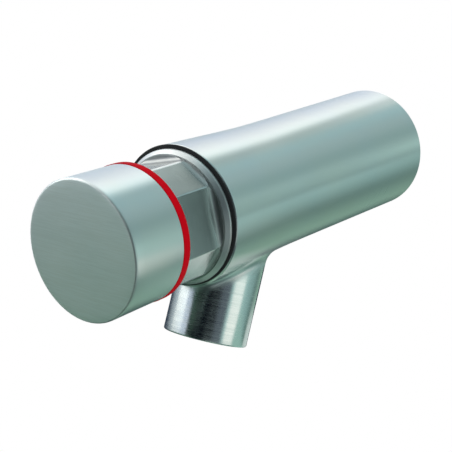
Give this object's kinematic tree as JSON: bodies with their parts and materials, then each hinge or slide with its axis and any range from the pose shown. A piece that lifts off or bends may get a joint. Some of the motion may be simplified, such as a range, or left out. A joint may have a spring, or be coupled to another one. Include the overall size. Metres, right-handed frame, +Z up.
{
  "type": "self-closing wall tap",
  "caption": "Wall tap with a long round steel body, a raked spout below and a push button in front that opens a valve and returns by itself.",
  "frame": {"origin": "where the tap's axis meets the wall, at the root of the inlet thread", "axes": "+Y runs back into the wall along the tap's axis, +Z is up, +X is to the right of someone who faces the wall"},
  "size_m": [0.0516, 0.1913, 0.0809],
  "materials": {
    "brushed_steel": "satin, brushed round the body",
    "button_steel": "satin, straight brushed on the face",
    "head_metal": "satin chrome on a milled head",
    "machined_brass": "turned",
    "inner_steel": "turned",
    "red_plastic": "moulded, glossy",
    "white_plastic": "acetal, turned",
    "grey_plastic": "moulded",
    "black_rubber": "moulded, dull"
  },
  "bodies": {
    "tap": {"tap_body": "brushed_steel", "inlet_tail": "machined_brass", "tail_seal": "black_rubber", "inlet_strainer": "inner_steel", "wall_gasket": "black_rubber", "valve_head": "head_metal", "head_seal": "black_rubber", "stem_bush": "white_plastic", "stem_seal": "black_rubber", "gland_nut": "machined_brass", "cartridge_sleeve": "machined_brass", "sleeve_seal": "black_rubber", "seat_ring": "inner_steel", "seat_seal": "black_rubber", "closing_spring": "inner_steel", "aerator_housing": "inner_steel", "aerator_core": "white_plastic", "aerator_seal": "black_rubber", "flow_regulator": "grey_plastic"},
    "button": {"push_stem": "inner_steel", "piston": "white_plastic", "piston_seal": "black_rubber", "piston_clip": "inner_steel", "valve_holder": "machined_brass", "valve_washer": "black_rubber", "washer_nut": "inner_steel", "button_cap": "button_steel", "colour_ring": "red_plastic", "button_insert": "grey_plastic", "button_circlip": "inner_steel"}
  },
  "joints": [
    {"name": "button_push", "type": "slide", "parent": "tap", "child": "button", "axis": [0, 1, 0], "range_m": [0, 0.004], "stiffness_N_per_m": 900, "springref_m": -0.008, "deforming": ["closing_spring"]}
  ]
}
